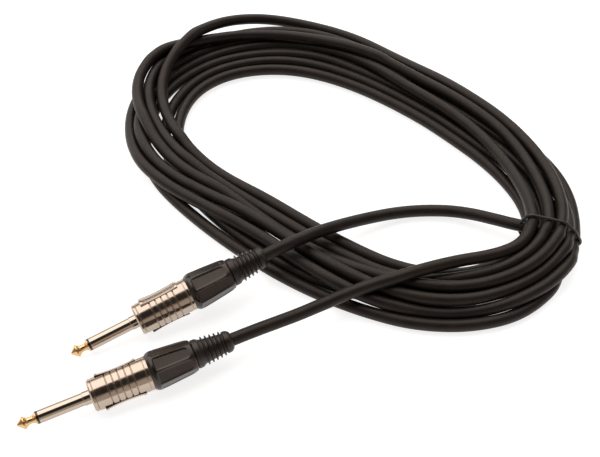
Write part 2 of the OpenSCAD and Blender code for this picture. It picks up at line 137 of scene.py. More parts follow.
LAYERS = {"l": ON_TABLE, "": ON_TABLE, "u": ON_TABLE + CABLE, "t": 15.5}
FIRST_PLACE = 337.5
PLACE_STEP = 7.5
SEEN_AT = 8
SIGHT_SLOPE = 1 / math.tan(math.radians(50.6))
TRUST = {"fixed": 9, "lead": 3, "seen": 1, "hidden": 0.15}
print("turns:", len(TURNS), "places in each:", len(PLACES))

# %% From rows of places to one line


def as_seen(point, trust):
    """The point's place in the plane in which the turns were read, its height and its trust."""
    x, y, z = point
    return (x, y - SIGHT_SLOPE * (SEEN_AT - z), z, trust)


def curve_through(values, at, wanted):
    """A smooth curve through values at the places at, sampled at the wanted places."""
    values, at = np.array(values, float), np.array(at, float)
    gap = np.diff(at)[:, None]
    slope = np.diff(values, axis=0) / gap
    tangent = np.vstack([slope[:1], (slope[:-1] * gap[1:] + slope[1:] * gap[:-1])
                         / (gap[:-1] + gap[1:]), slope[-1:]])
    i = np.clip(np.searchsorted(at, wanted, side="right") - 1, 0, len(at) - 2)
    h = gap[i]
    u = (wanted - at[i])[:, None] / h
    return ((2 * u**3 - 3 * u**2 + 1) * values[i] + (u**3 - 2 * u**2 + u) * h * tangent[i]
            + (3 * u**2 - 2 * u**3) * values[i + 1] + (u**3 - u**2) * h * tangent[i + 1])


def turn_points():
    """The eight turns as points, a few degrees apart."""
    rows, places = [], []
    for number, row in enumerate(TURNS):
        for place, word in zip(PLACES, row.split()):
            layer = word.lstrip("0123456789")
            trust = TRUST["hidden"] if layer == "l" else TRUST["seen"]
            rows.append((float(word.rstrip("lut")), LAYERS[layer], trust))
            places.append(place + 360 * number)
    angles = np.arange(FIRST_PLACE, places[-1], PLACE_STEP)
    points = []
    for angle, (r, z, trust) in zip(angles, curve_through(rows, places, angles)):
        a = math.radians(angle)
        points.append((COIL_AT[0] + r * math.cos(a), COIL_AT[1] + r * math.sin(a),
                       max(z, ON_TABLE), trust))
    return points


knots = [as_seen(on_axis("b", x), TRUST["fixed"]) for x in STRAIGHT]
knots += [as_seen(p, TRUST["lead"]) for p in LEAD_B]
knots += turn_points()
knots += [as_seen((x, y, ON_TABLE), TRUST["lead"]) for x, y in HIDDEN_BEND]
knots += [as_seen(p, TRUST["lead"]) for p in reversed(LEAD_A)]
knots += [as_seen(on_axis("a", x), TRUST["fixed"]) for x in reversed(STRAIGHT)]
print("points along the route:", len(knots))

# %% [markdown]
# ## Letting the cable settle
# A drawn coil always cuts through itself somewhere. A real one has weight, is stiff, and can't.
# Those facts are worked in as small moves, many times over: each point sinks a little, is drawn
# back to its place, is smoothed as a stiff jacket would be, and is pushed away from any other
# stretch that comes nearer than one diameter. The turns then nest in each other's grooves. The
# last rounds sink and smooth less, so that the turns come to rest. Blender's soft body could do
# this too, but plain arithmetic on one line is quicker and gives the same cable each time.

# %% Even steps along the route
STEP = 3.0
FINE_STEP = 0.7


def even_steps(values, step):
    """The same route with points a step apart."""
    values = np.array(values, float)
    far = np.concatenate([[0], np.cumsum(np.linalg.norm(np.diff(values[:, :3], axis=0), axis=1))])
    fine = curve_through(values, far, np.linspace(0, far[-1], int(far[-1] / FINE_STEP)))
    run = np.concatenate([[0], np.cumsum(np.linalg.norm(np.diff(fine[:, :3], axis=0), axis=1))])
    places = np.linspace(0, run[-1], int(round(run[-1] / step)) + 1)
    return np.stack([np.interp(places, run, column) for column in fine.T], 1)


route = even_steps(knots, STEP)
print("points a step apart:", len(route))

# %% The tie's place, which the turns have to pass through
TIE_AT = np.array([123.5, 53.0])
TIE_ANGLE = math.radians(-13)
TIE_INSIDE = (27.0, 18.0)
TIE_DEPTH = 1.6      # a point this near the tie's plane is in its loop,
TIE_REACH = 22       # if it is this near the loop's middle
BAND_ROOM = 1.2      # the band below lifts the coil by this much,
BAND_SPREAD = 15     # less and less over this distance
tie_across = np.array([math.cos(TIE_ANGLE), math.sin(TIE_ANGLE)])
tie_along = np.array([-math.sin(TIE_ANGLE), math.cos(TIE_ANGLE)])


def pass_the_tie(p, free):
    """Presses the points that are in the tie's loop together."""
    offset = p[:, :2] - TIE_AT
    across, along = offset @ tie_across, offset @ tie_along
    inside = (np.abs(along) < TIE_DEPTH) & (np.abs(across) < TIE_REACH) & (free > 0.5)
    reach = TIE_INSIDE[0] / 2 - CABLE / 2
    pressed = np.clip(across[inside], -reach, reach) - across[inside]
    p[inside, :2] += 0.5 * pressed[:, None] * tie_across
    p[inside, 2] = np.clip(p[inside, 2], BAND_ROOM + CABLE / 2,
                           BAND_ROOM + TIE_INSIDE[1] - CABLE / 2)


def table_height(p):
    """The lowest that a centreline may lie: on the table, or on the band below the coil."""
    away = ((p[:, 0] - TIE_AT[0]) ** 2 + (p[:, 1] - TIE_AT[1]) ** 2) / BAND_SPREAD**2
    return ON_TABLE + (BAND_ROOM + 0.05) * np.exp(-away)


print("room inside the tie, mm:", TIE_INSIDE)


# %% Neighbours and pushes
SKIP = 4
BLOCK = 400
OVER_PUSH = 1.3


def neighbours(p, reach):
    """Pairs of points nearer than reach that aren't next to each other along the cable."""
    first, second = [], []
    for start in range(0, len(p), BLOCK):
        part = p[start:start + BLOCK]
        near = ((part[:, None, :] - p[None, :, :]) ** 2).sum(-1) < reach * reach
        i, j = np.nonzero(near)
        i = i + start
        apart = j - i >= SKIP
        first.append(i[apart])
        second.append(j[apart])
    return np.concatenate(first), np.concatenate(second)


def push_apart(p, free, i, j, gap):
    """Moves each pair that is too near apart, along the line between the two points."""
    between = p[i] - p[j]
    distance = np.linalg.norm(between, axis=1)
    hit = distance < gap
    i, j, between, distance = i[hit], j[hit], between[hit], distance[hit]
    share = np.maximum(free[i] + free[j], 1e-6)
    push = (between / np.maximum(distance, 1e-6)[:, None]
            * ((gap - distance) / share)[:, None])
    count = np.bincount(i, minlength=len(p)) + np.bincount(j, minlength=len(p))
    for axis in range(3):
        move = np.bincount(i, push[:, axis] * free[i], len(p))
        move -= np.bincount(j, push[:, axis] * free[j], len(p))
        p[:, axis] += OVER_PUSH * move / np.maximum(count, 1)


print("pairs that cut into each other at first:", len(neighbours(route[:, :3], CABLE)[0]))


# %% Settle
ROUNDS = 500
LATE = 0.8 * ROUNDS
SINK = {"early": 0.12, "late": 0.03}
STIFFNESS = ((3, 0.3), (6, 0.25))    # smoothing over so many points, and its share
LEVELLING = 0.8
LEAD_FREE = 0.25
LEAD_HOLD = 0.15
TURN_HOLD = {"by trust": 0.045, "least": 0.002}
GAP = CABLE + 0.05
LOOK_AHEAD = 3
PUSHES = 3


def settle(route):
    """The route as the cable lies, N points in millimetres."""
    seen, z, trust = route[:, :2], route[:, 2], route[:, 3]
    p = np.stack([seen[:, 0], seen[:, 1] + SIGHT_SLOPE * (SEEN_AT - z), z], 1)
    # trust is blended between knots, so each kind of stretch begins half way
    fixed, lead = trust > 6, trust > 2
    free = np.where(fixed, 0.0, np.where(lead, LEAD_FREE, 1.0))
    loose = ~fixed[:, None]
    hold = np.where(lead, LEAD_HOLD, TURN_HOLD["by trust"] * trust + TURN_HOLD["least"])[:, None]
    for turn in range(ROUNDS):
        late = turn > LATE
        if turn % 10 == 0:
            low = table_height(p)
            i, j = neighbours(p, GAP + LOOK_AHEAD)
        p[:, 2] -= SINK["late" if late else "early"] * free
        target = np.stack([seen[:, 0], seen[:, 1] + SIGHT_SLOPE * (SEEN_AT - p[:, 2])], 1)
        drift = (p[:, :2] - target) * (1 - hold)
        drift[1:-1] = 0.25 * drift[:-2] + 0.5 * drift[1:-1] + 0.25 * drift[2:]
        p[:, :2] = np.where(loose, target + drift, p[:, :2])
        for k, share in STIFFNESS:
            smooth = (4 * (p[k:-3 * k] + p[3 * k:-k]) - p[:-4 * k] - p[4 * k:]) / 6
            weight = share * free[2 * k:-2 * k, None] * (0.5 if late else 1.0)
            p[2 * k:-2 * k] += weight * (smooth - p[2 * k:-2 * k])
        mean_z = 0.25 * p[:-2, 2] + 0.5 * p[1:-1, 2] + 0.25 * p[2:, 2]
        p[1:-1, 2] += LEVELLING * (mean_z - p[1:-1, 2]) * loose[1:-1, 0]
        for _ in range(PUSHES):
            push_apart(p, free, i, j, GAP)
            p[:, 2] = np.where(loose[:, 0], np.maximum(p[:, 2], low), p[:, 2])
            pass_the_tie(p, free)
    return p


line = settle(route)
i, j = neighbours(line, GAP + 1)
print("closest two stretches, mm:", round(float(np.linalg.norm(line[i] - line[j], axis=1).min()), 2))
print("highest point of the centreline, mm:", round(float(line[:, 2].max()), 1))

# %% [markdown]
# ## Colours and nodes
# Materials are built from nodes, so that no picture file is needed. Two helpers are enough: one
# turns the hex colours that people pick on a screen into the linear light that a renderer adds
# up, and one adds a node with its settings and its links.

# %% Helpers for colours and nodes


def linear(colour):
    """An sRGB hex colour as linear red, green, blue and alpha."""
    channels = [int(colour[k:k + 2], 16) / 255 for k in (1, 3, 5)]
    bent = [c / 12.92 if c <= 0.04045 else ((c + 0.055) / 1.055) ** 2.4 for c in channels]
    return (*bent, 1.0)


def add_node(tree, kind, settings=None, links=None):
    """Adds a node. Links hold a socket to join or a value to set, by the input's name."""
    node = tree.nodes.new(kind)
    for name, value in (settings or {}).items():
        setattr(node, name, value)
    for name, value in (links or {}).items():
        if isinstance(value, bpy.types.NodeSocket):
            tree.links.new(value, node.inputs[name])
        else:
            node.inputs[name].default_value = value
    return node


print("black of the jacket in linear light:", [round(c, 4) for c in linear("#1a1613")])

# %% Helpers for shaders and patterns


def new_material(name, colour, roughness, **sockets):
    """A material with its shader: plain values go straight on the shader's own sockets."""
    material = bpy.data.materials.new(name)
    material.use_nodes = True
    tree = material.node_tree
    shader = tree.nodes["Principled BSDF"]
    shader.inputs["Base Color"].default_value = linear(colour)
    shader.inputs["Roughness"].default_value = roughness
    for socket, value in sockets.items():
        shader.inputs[socket.replace("_", " ")].default_value = value
    material.diffuse_color = linear(colour)
    return material, tree, shader


def vary(tree, shader, socket, factor, low, high):
    """Lets a pattern move a socket of the shader between two values or two colours."""
    if isinstance(low, str):
        ramp = add_node(tree, "ShaderNodeValToRGB", links={"Fac": factor})
        ramp.color_ramp.elements[0].color = linear(low)
        ramp.color_ramp.elements[1].color = linear(high)
        ramp.color_ramp.elements[0].position = 0.3
        ramp.color_ramp.elements[1].position = 0.7
        tree.links.new(ramp.outputs["Color"], shader.inputs[socket])
    else:
        span = add_node(tree, "ShaderNodeMapRange", links={
            "Value": factor, "From Min": 0.3, "From Max": 0.7, "To Min": low, "To Max": high})
        tree.links.new(span.outputs["Result"], shader.inputs[socket])


def bump(tree, shader, height, depth_mm):
    """Turns a pattern into relief of a real depth."""
    relief = add_node(tree, "ShaderNodeBump", links={
        "Height": height, "Distance": depth_mm * MM})
    tree.links.new(relief.outputs["Normal"], shader.inputs["Normal"])


def noise(tree, coordinates, size_mm, detail=3.0, stretch=(1, 1, 1)):
    """Cloudy noise whose lumps are size_mm wide, longer along the axes with a low stretch."""
    mapped = add_node(tree, "ShaderNodeMapping", links={"Vector": coordinates, "Scale": stretch})
    pattern = add_node(tree, "ShaderNodeTexNoise", links={
        "Vector": mapped.outputs["Vector"], "Scale": 1 / (size_mm * MM), "Detail": detail})
    return pattern.outputs["Fac"]


def coordinates(tree, output="Object"):
    """Places on the piece: Object is in its own space, UV is its own map, both in metres."""
    return add_node(tree, "ShaderNodeTexCoord").outputs[output]


print("noise scale for lumps 1 mm wide:", 1 / MM)

# %% [markdown]
# ## The jacket: soft PVC, extruded
# The jacket is soft black PVC, drawn out of a die around the screened core. It has a dull, warm
# black skin with a low broad sheen, faint draw lines along its length, and dust and handling
# marks that make it patchy. The draw lines are about 0.3 mm wide, which is as fine as shows.

# %% Jacket material
WARM_SHEEN = linear("#ffefe4")


def jacket_material():
    material, tree, shader = new_material("extruded_pvc", "#1a1613", 0.45, IOR=1.53)
    shader.inputs["Specular IOR Level"].default_value = 0.28
    shader.inputs["Specular Tint"].default_value = WARM_SHEEN
    place = coordinates(tree, "UV")
    patches = noise(tree, place, 9, detail=4)
    vary(tree, shader, "Base Color", patches, "#15110f", "#211b18")
    skin = noise(tree, coordinates(tree), 1.2, detail=4)
    vary(tree, shader, "Roughness", skin, 0.38, 0.52)
    draw_lines = noise(tree, place, 0.35, detail=2, stretch=(1, 0.03, 1))
    grain = noise(tree, coordinates(tree), 0.4, detail=3)
    relief = add_node(tree, "ShaderNodeMix", {"data_type": "FLOAT"}, {
        "Factor": 0.5, "A": draw_lines, "B": grain})
    bump(tree, shader, relief.outputs["Result"], 0.05)
    return material


jacket = jacket_material()
print("jacket material:", jacket.name)

# %% [markdown]
# ## The cable as a tube
# A curve with a round bevel would do, but a tube made ring by ring can carry its own map of
# places: one direction runs around the cable and the other along it, both in metres. The draw
# lines need that map.

# %% Mesh helpers


def make_piece(name, vertices, faces, material, maps=None, sharp=35):
    """A mesh object from points in millimetres, with smooth faces and sharp edges kept."""
    mesh = bpy.data.meshes.new(name)
    mesh.from_pydata([tuple(MM * c for c in v) for v in vertices], [], faces)
    mesh.materials.append(material)
    mesh.polygons.foreach_set("use_smooth", [True] * len(mesh.polygons))
    mesh.set_sharp_from_angle(angle=math.radians(sharp))
    if maps is not None:
        layer = mesh.uv_layers.new(name="place")
        layer.data.foreach_set("uv", [MM * c for corner in maps for c in corner])
    mesh.update()
    piece = bpy.data.objects.new(name, mesh)
    bpy.context.scene.collection.objects.link(piece)
    return piece


def grid_faces(rings, around, closed_rings=False, corners=None):
    """Faces between rings of points, with a map place for each corner, and capped ends."""
    faces, maps = [], []
    last = rings if closed_rings else rings - 1
    for a in range(last):
        b = (a + 1) % rings
        for k in range(around):
            m = (k + 1) % around
            faces.append((a * around + k, a * around + m, b * around + m, b * around + k))
            if corners is not None:
                maps += [corners(a, k), corners(a, k + 1), corners(a + 1, k + 1),
                         corners(a + 1, k)]
    if not closed_rings:
        for ring, order in ((0, -1), (rings - 1, 1)):
            faces.append(tuple(ring * around + k for k in range(around))[::order])
            if corners is not None:
                maps += [corners(ring, k) for k in range(around)]
    return faces, maps


print("faces of a tube of two rings of four points:", len(grid_faces(2, 4)[0]))

# %% Helpers for a tube along a line


def sweep(points, section):
    """Rings of points: the section, given as (sideways, up), carried along the line."""
    forward = np.gradient(points, axis=0)
    forward /= np.linalg.norm(forward, axis=1)[:, None]
    side = np.cross(forward, (0, 0, 1))
    side /= np.linalg.norm(side, axis=1)[:, None]
    up = np.cross(side, forward)
    return [tuple(p + s * a + u * b) for p, a, b in zip(points, side, up) for s, u in section]


def circle(radius, count):
    angles = [2 * math.pi * k / count for k in range(count)]
    return [(radius * math.cos(a), radius * math.sin(a)) for a in angles]


print("first point of a circle 2 mm across:", circle(1, 4)[0])

# %% Cable piece
CABLE_SIDES = 18
RING_STEP = 2.2

centre = even_steps(np.hstack([line, np.zeros((len(line), 1))]), RING_STEP)[:, :3]
cable_length = float(np.linalg.norm(np.diff(centre, axis=0), axis=1).sum())
ring_step = cable_length / (len(centre) - 1)


def jacket_map(ring, k):
    return (k * math.pi * CABLE / CABLE_SIDES, ring * ring_step)


faces, maps = grid_faces(len(centre), CABLE_SIDES, corners=jacket_map)
cable = make_piece("cable", sweep(centre, circle(CABLE / 2, CABLE_SIDES)), faces, jacket, maps)
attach(cable, "cable")
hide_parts("coil", "lead_a", "lead_b")
print("cable length in mm:", round(cable_length), "rings:", len(centre))

# %% [markdown]
# ## The tie: an endless rubber band
# A thin round band holds the turns together at one place. It is stretched over the bundle, so it
# follows the outline that a taut string would take around the turns where it crosses them.

# %% Tie material


def tie_material():
    material, tree, shader = new_material("natural_rubber_band", "#191513", 0.4, IOR=1.52)
    grain = noise(tree, coordinates(tree), 0.5, detail=3)
    vary(tree, shader, "Base Color", grain, "#14110f", "#1f1a18")
    vary(tree, shader, "Roughness", grain, 0.34, 0.48)
    bump(tree, shader, grain, 0.03)
    return material


band_rubber = tie_material()
print("tie material:", band_rubber.name)

# %% The taut outline around the bundle
BAND = 1.5
BAND_SIDES = 14
BAND_RINGS = 96


def convex_outline(points):
    """The taut outline around points in a plane, counter-clockwise."""
    points = sorted(set(map(tuple, points)))

    def half(run):
        chain = []
        for p in run:
            while len(chain) > 1 and np.cross(np.subtract(chain[-1], chain[-2]),
                                              np.subtract(p, chain[-2])) <= 0:
                chain.pop()
            chain.append(p)
        return chain[:-1]

    return half(points) + half(points[::-1])


def bundle_points():
    """The band's centre around each strand that crosses the tie, as (across, height)."""
    offset = centre[:, :2] - TIE_AT
    across, along = offset @ tie_across, offset @ tie_along
    here = (np.abs(along) < TIE_DEPTH) & (np.abs(across) < TIE_INSIDE[0] / 2)
    reach = CABLE / 2 + BAND / 2
    ring = circle(reach, 40)
    return [(round(a + s, 3), round(z + t, 3))
            for a, z in zip(across[here], centre[here, 2]) for s, t in ring]


outline = np.array(convex_outline(bundle_points()))
outline = np.vstack([outline, outline[:1]])
run = np.concatenate([[0], np.cumsum(np.linalg.norm(np.diff(outline, axis=0), axis=1))])
places = np.linspace(0, run[-1], BAND_RINGS + 1)[:-1]
loop = np.stack([np.interp(places, run, outline[:, 0]), np.interp(places, run, outline[:, 1])], 1)
loop = (np.roll(loop, 1, axis=0) + 2 * loop + np.roll(loop, -1, axis=0)) / 4
loop[:, 1] = np.maximum(loop[:, 1], BAND / 2)
print("band around the bundle, mm:", round(float(run[-1])))

# %% Tie piece


def band_rings(loop, section):
    """Rings of a closed band that stands across the coil."""
    step = np.roll(loop, -1, axis=0) - np.roll(loop, 1, axis=0)
    step /= np.linalg.norm(step, axis=1)[:, None]
    rings = []
    for (a, z), (da, dz) in zip(loop, step):
        for out, sideways in section:
            x, y = TIE_AT + (a + dz * out) * tie_across + sideways * tie_along
            rings.append((x, y, z - da * out))
    return rings


faces, maps = grid_faces(len(loop), BAND_SIDES, closed_rings=True)
tie = make_piece("tie_band", band_rings(loop, circle(BAND / 2, BAND_SIDES)), faces, band_rubber)
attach(tie, "cable")
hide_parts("tie")
print("faces of the band:", len(tie.data.polygons))

# %% [markdown]
# ## Turned metal: nickel and gold plate
# The finger and the shell are turned from brass bar and plated. Nickel is a warm grey mirror that
# keeps the lathe's fine rings, so its highlights are drawn out across them. Gold plate on the tip
# is smoother and yellow. Rings 0.25 mm apart are about the coarsest that a lathe leaves.

# %% Plated metals


def plated(name, colour, roughness, ring_depth):
    material, tree, shader = new_material(name, colour, roughness, Metallic=1.0)
    place = coordinates(tree, "UV")
    rings = noise(tree, place, 0.25, detail=2, stretch=(0.02, 1, 1))
    smudges = noise(tree, coordinates(tree), 4, detail=5)
    vary(tree, shader, "Roughness", smudges, roughness * 0.8, roughness * 1.35)
    specks = noise(tree, coordinates(tree), 0.5, detail=2)
    relief = add_node(tree, "ShaderNodeMix", {"data_type": "FLOAT"}, {
        "Factor": 0.5, "A": rings, "B": specks})
    bump(tree, shader, relief.outputs["Result"], 2 * ring_depth)
    return material


nickel = plated("nickel_plated_brass", "#b9ab9c", 0.1, 0.005)
nickel_shell = plated("nickel_plated_shell", "#b5a596", 0.15, 0.012)
gold = plated("gold_plated_brass", "#dab483", 0.1, 0.004)
print("plated metals:", nickel.name, nickel_shell.name, gold.name)

# %% [markdown]
# ## Plastics and rubber on the plug
# The bushing is ABS, moulded in a polished tool: black, glossy, with broad soft highlights on its
# facets. The boot is moulded rubber, duller and slightly greyer. The ring behind the tip is hard
# glossy phenolic resin. Inside, the insulators are pale nylon, and the lugs tinned brass.

# %% Moulded and other materials


def moulded(name, dark, light, roughness, grain_mm, depth_mm, **sockets):
    material, tree, shader = new_material(name, dark, roughness, **sockets)
    grain = noise(tree, coordinates(tree), grain_mm, detail=4)
    wide = noise(tree, coordinates(tree), grain_mm * 9, detail=3)
    vary(tree, shader, "Base Color", wide, dark, light)
    vary(tree, shader, "Roughness", wide, roughness * 0.85, roughness * 1.2)
    bump(tree, shader, grain, depth_mm)
    return material


abs_black = moulded("moulded_abs", "#181311", "#1f1916", 0.25, 0.5, 0.006, IOR=1.54,
                    Specular_Tint=WARM_SHEEN)
rubber_black = moulded("moulded_rubber", "#14100e", "#1d1815", 0.4, 0.35, 0.03, IOR=1.52,
                        Specular_Tint=WARM_SHEEN)
phenolic = moulded("phenolic_ring", "#0f0e0e", "#161514", 0.2, 0.4, 0.005, IOR=1.6)
nylon_pale = moulded("natural_nylon", "#d8d2c2", "#e6e0d0", 0.4, 0.4, 0.01, IOR=1.53)
nylon_black = moulded("black_nylon", "#1b1a1a", "#262423", 0.45, 0.4, 0.02, IOR=1.53)
core_plastic = moulded("core_polythene", "#dcdad4", "#ecebe6", 0.4, 0.4, 0.01, IOR=1.51)
liner_film = moulded("liner_polyester", "#b9c2c4", "#cfd6d6", 0.25, 0.6, 0.005, IOR=1.58)


def tinned(name, colour, dark, roughness):
    material, tree, shader = new_material(name, colour, roughness, Metallic=1.0)
    stain = noise(tree, coordinates(tree), 1.5, detail=4)
    vary(tree, shader, "Base Color", stain, dark, colour)
    vary(tree, shader, "Roughness", stain, roughness * 0.8, roughness * 1.4)
    return material


tinned_brass = tinned("tinned_brass", "#c9c6bf", "#a9a59b", 0.35)
copper = tinned("copper_strands", "#c77b55", "#8f4f33", 0.4)
print("moulded and metal materials:", abs_black.name, rubber_black.name, phenolic.name)

# %% [markdown]
# ## Turning a profile
# Every round piece of a plug is a profile turned about the axis. A screw modifier could turn it,
# but rings made in a loop can also be held back to flat facets, as the bushing needs. A corner
# is never sharp on a real part, so each profile point may carry a radius for a short arc.

# %% Lathe helpers
AROUND = 96
CORNER_STEPS = 4


def rounded(profile):
    """A profile of (radius, x) or (radius, x, fillet) points with its corners rounded."""
    out = []
    count = len(profile)
    for i, corner in enumerate(profile):
        p = np.array(corner[:2], float)
        fillet = corner[2] if len(corner) > 2 else 0
        before = np.array(profile[i - 1][:2], float) - p
        after = np.array(profile[(i + 1) % count][:2], float) - p
        if not fillet:
            out.append(tuple(p))
            continue
        cut = min(fillet, np.linalg.norm(before) * 0.49, np.linalg.norm(after) * 0.49)
        start = p + before / np.linalg.norm(before) * cut
        end = p + after / np.linalg.norm(after) * cut
        for k in range(CORNER_STEPS + 1):
            t = k / CORNER_STEPS
            out.append(tuple((1 - t) ** 2 * start + 2 * t * (1 - t) * p + t * t * end))
    return out


def turned(name, profile, end, material, shape=None, rolled=True, around=AROUND):
    """Turns a profile about the plug's axis. shape may change a radius by place and angle."""
    place = laid(end, rolled)
    vertices = []
    for r, x in profile:
        for k in range(around):
            angle = 2 * math.pi * k / around
            radius = shape(r, x, angle) if shape else r
            vertices.append(place @ Vector((x, -radius * math.sin(angle),
                                            radius * math.cos(angle))))
    run = [0]
    for (r0, x0), (r1, x1) in zip(profile, profile[1:] + profile[:1]):
        run.append(run[-1] + math.hypot(r1 - r0, x1 - x0))

    def corners(ring, k):
        radius = profile[ring % len(profile)][0]
        return (max(radius, 1) * 2 * math.pi * k / around, run[ring])

    faces, maps = grid_faces(len(profile), around, closed_rings=True, corners=corners)
    return make_piece(f"{name}_{end}", vertices, faces, material, maps)


print("corner of a 1 mm fillet:", rounded([(0, 0), (0, 5, 1), (5, 5)])[1:3])

# %% [markdown]
# ## The finger
# The finger is what goes into the socket: a gold tip with a waist for the socket's spring, a
# black ring that insulates it, and the plain nickel sleeve with a shoulder that stops against the
# socket. The sizes are those of the standard 6.35 mm plug.

# %% Finger sizes, in millimetres along the plug's axis
FINGER_R = 6.35 / 2
TIP_END = -64.25
TIP_BACK = TIP_END + 9.4
RING_BACK = TIP_BACK + 1.0
SHOULDER = -32.5
SHOULDER_R = 6.9 / 2
FLANGE = (-27.0, -25.0)
CHAMBER_R = 6.35
ROD_R = 1.0
ROD_END = -20.4
TUBE_R = 1.6
print("finger, mm long:", SHOULDER - TIP_END)

# %% Profiles of the tip and the sleeve
POINT_R = 0.9
CONE = -35
HEAD_AT = 3.3
HEAD_EDGE = 0.55
NECK_R = 3.5 / 2
NECK_AT = 5.3
NECK_L = 1.5
FLARE_L = 1.9
LAND_L = 0.4
LAND_R = FINGER_R - 0.05


def arc(centre_r, centre_x, radius, start, end, steps):
    """Points of (radius, x) on an arc, by its angle from straight out."""
    angles = [math.radians(start + (end - start) * k / steps) for k in range(steps + 1)]
    return [(max(centre_r + radius * math.cos(a), 0.01), centre_x + radius * math.sin(a))
            for a in angles]


def tip_profile():
    nose = arc(0, TIP_END + POINT_R, POINT_R, -88, CONE, 7)
    head = arc(FINGER_R - HEAD_EDGE, TIP_END + HEAD_AT, HEAD_EDGE, CONE, 70, 9)
    land, rise = TIP_BACK - LAND_L, LAND_R - NECK_R
    neck = rounded([
        head[-1], (NECK_R, TIP_END + NECK_AT, 0.8), (NECK_R, TIP_END + NECK_AT + NECK_L, 0.7),
        (NECK_R + rise * 0.25, land - FLARE_L * 0.5, 0.5),
        (NECK_R + rise * 0.75, land - FLARE_L * 0.2, 0.2), (NECK_R + rise, land, 0.15),
        (NECK_R + rise, TIP_BACK, 0.08), (ROD_R, TIP_BACK)])
    return nose + head[:-1] + neck + [(ROD_R, ROD_END), (0.01, ROD_END)]


def sleeve_profile():
    flange_r = CHAMBER_R - 0.05
    return rounded([
        (TUBE_R, RING_BACK), (FINGER_R, RING_BACK, 0.12), (FINGER_R, SHOULDER, 0.15),
        (SHOULDER_R, SHOULDER, 0.3), (SHOULDER_R, FLANGE[0]), (flange_r, FLANGE[0]),
        (flange_r, FLANGE[1]), (TUBE_R, FLANGE[1])])


print("rings in the tip's profile:", len(tip_profile()))

# %% Tip, ring and sleeve
for end in PLUGS:
    tip = turned("tip_contact", tip_profile(), end, gold)
    ring = turned("insulating_ring", rounded([
        (ROD_R, TIP_BACK), (LAND_R, TIP_BACK, 0.1), (LAND_R, RING_BACK, 0.1),
        (ROD_R, RING_BACK)]), end, phenolic)
    sleeve = turned("sleeve_contact", sleeve_profile(), end, nickel)
    for piece, node, slot in ((tip, "tip", "gold_plate"), (ring, "tip_ring", "black_insulator"),
                              (sleeve, "sleeve", "nickel_plate")):
        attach(piece, "cable")
        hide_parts(f"{node}_{end}")
    print("finger", end, "faces:", sum(len(p.data.polygons) for p in (tip, ring, sleeve)))

# %% [markdown]
# ## The shell
# The shell is the metal sleeve that the hand holds. It has a rim at the front, five turned grooves
# and two raised grip panels with fine ribs, on opposite sides. The grooves and the rims are in
# the profile. The panels aren't round, so they stand out of the shell as pads of their own.

# %% Shell sizes
SHELL_L = 29.0
SHELL_FRONT_R = 15.8 / 2
SHELL_REAR_R = 17.0 / 2
GROOVES = {"count": 5, "start": 8.4, "pitch": 3.15, "wide": 0.8, "deep": 0.4}
BORE_R = 13.8 / 2 + 0.1
BORE_FRONT = -9.0


def shell_r(x):
    return SHELL_REAR_R - (SHELL_REAR_R - SHELL_FRONT_R) * -x / SHELL_L


def groove(x, w, depth, edge):
    """A groove from x to x + w with sloping sides and rounded edges."""
    floor_r = shell_r(x + w / 2) - depth
    return [(shell_r(x), x, edge), (floor_r, x + 0.42 * w, edge), (floor_r, x + 0.58 * w, edge),
            (shell_r(x + w), x + w, edge)]


print("shell half way along, mm across:", 2 * shell_r(-SHELL_L / 2))


# %% Shell pieces
RIM = {"front": 1.7, "rear": 2.0}


def shell_profile():
    front = -SHELL_L
    outside = [(shell_r(front) - 0.7, front, 0.1), (shell_r(front), front + 0.7, 0.3)]
    outside += groove(front + RIM["front"], 0.6, 0.3, 0.1)
    for k in range(GROOVES["count"]):
        x = front + GROOVES["start"] + k * GROOVES["pitch"]
        outside += groove(x, GROOVES["wide"], GROOVES["deep"], 0.12)
    outside += groove(-RIM["rear"], 0.5, 0.2, 0.08)
    outside += [(shell_r(0) - 0.02, 0, 0.35)]
    inside = [(BORE_R, 0, 0.2), (BORE_R, BORE_FRONT), (CHAMBER_R + 0.05, BORE_FRONT),
              (CHAMBER_R + 0.05, FLANGE[0]), (SHOULDER_R + 0.05, FLANGE[0]),
              (SHOULDER_R + 0.05, front, 0.15)]
    return rounded(outside + inside)


for end in PLUGS:
    shell = turned("shell_body", shell_profile(), end, nickel_shell, around=128)
    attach(shell, "cable")
    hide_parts(f"shell_{end}")
print("rings in the shell's profile:", len(shell_profile()))

# %% Skin of a grip panel
PANEL = {"front": -24.4, "back": -4.4, "wide": 7.0, "rise": 0.7, "rib": 0.8, "cut": 0.3}
SADDLE = 0.6
FRAME_W = 0.5
FRAME_ENDS = 2.4
PANEL_ROUND = 0.3
UNDERCUT = {"up": 0.35, "in": 0.5}
FOOT_R = CHAMBER_R + 0.9
PANEL_STEP = 0.1
PANEL_COLUMNS = 33


def panel_height(x, y):
    """Height of a grip panel's skin above the plug's axis."""
    length = PANEL["back"] - PANEL["front"]
    from_middle = abs(x - PANEL["front"] - length / 2) / (length / 2)
    rise = PANEL["rise"] - SADDLE * (1 - from_middle**2)
    top = math.sqrt((SHELL_REAR_R + rise) ** 2 - y * y)
    ribs = int((length - FRAME_ENDS) / PANEL["rib"])
    margin = (length - ribs * PANEL["rib"] + 0.5 * PANEL["rib"]) / 2
    from_end = min(x - PANEL["front"], PANEL["back"] - x)
    from_side = PANEL["wide"] / 2 - abs(y)
    if from_end > margin and from_side > FRAME_W:
        wave = 0.5 + 0.5 * math.cos(2 * math.pi * (x - PANEL["front"] - margin) / PANEL["rib"])
        top -= PANEL["cut"] * min(1, 1.6 * (1 - wave)) * min(1, (from_side - FRAME_W) / 0.15)
    edge = min(from_end, from_side, PANEL_ROUND)
    drop = PANEL_ROUND - math.sqrt(max(PANEL_ROUND**2 - (PANEL_ROUND - edge) ** 2, 0))
    return top - drop


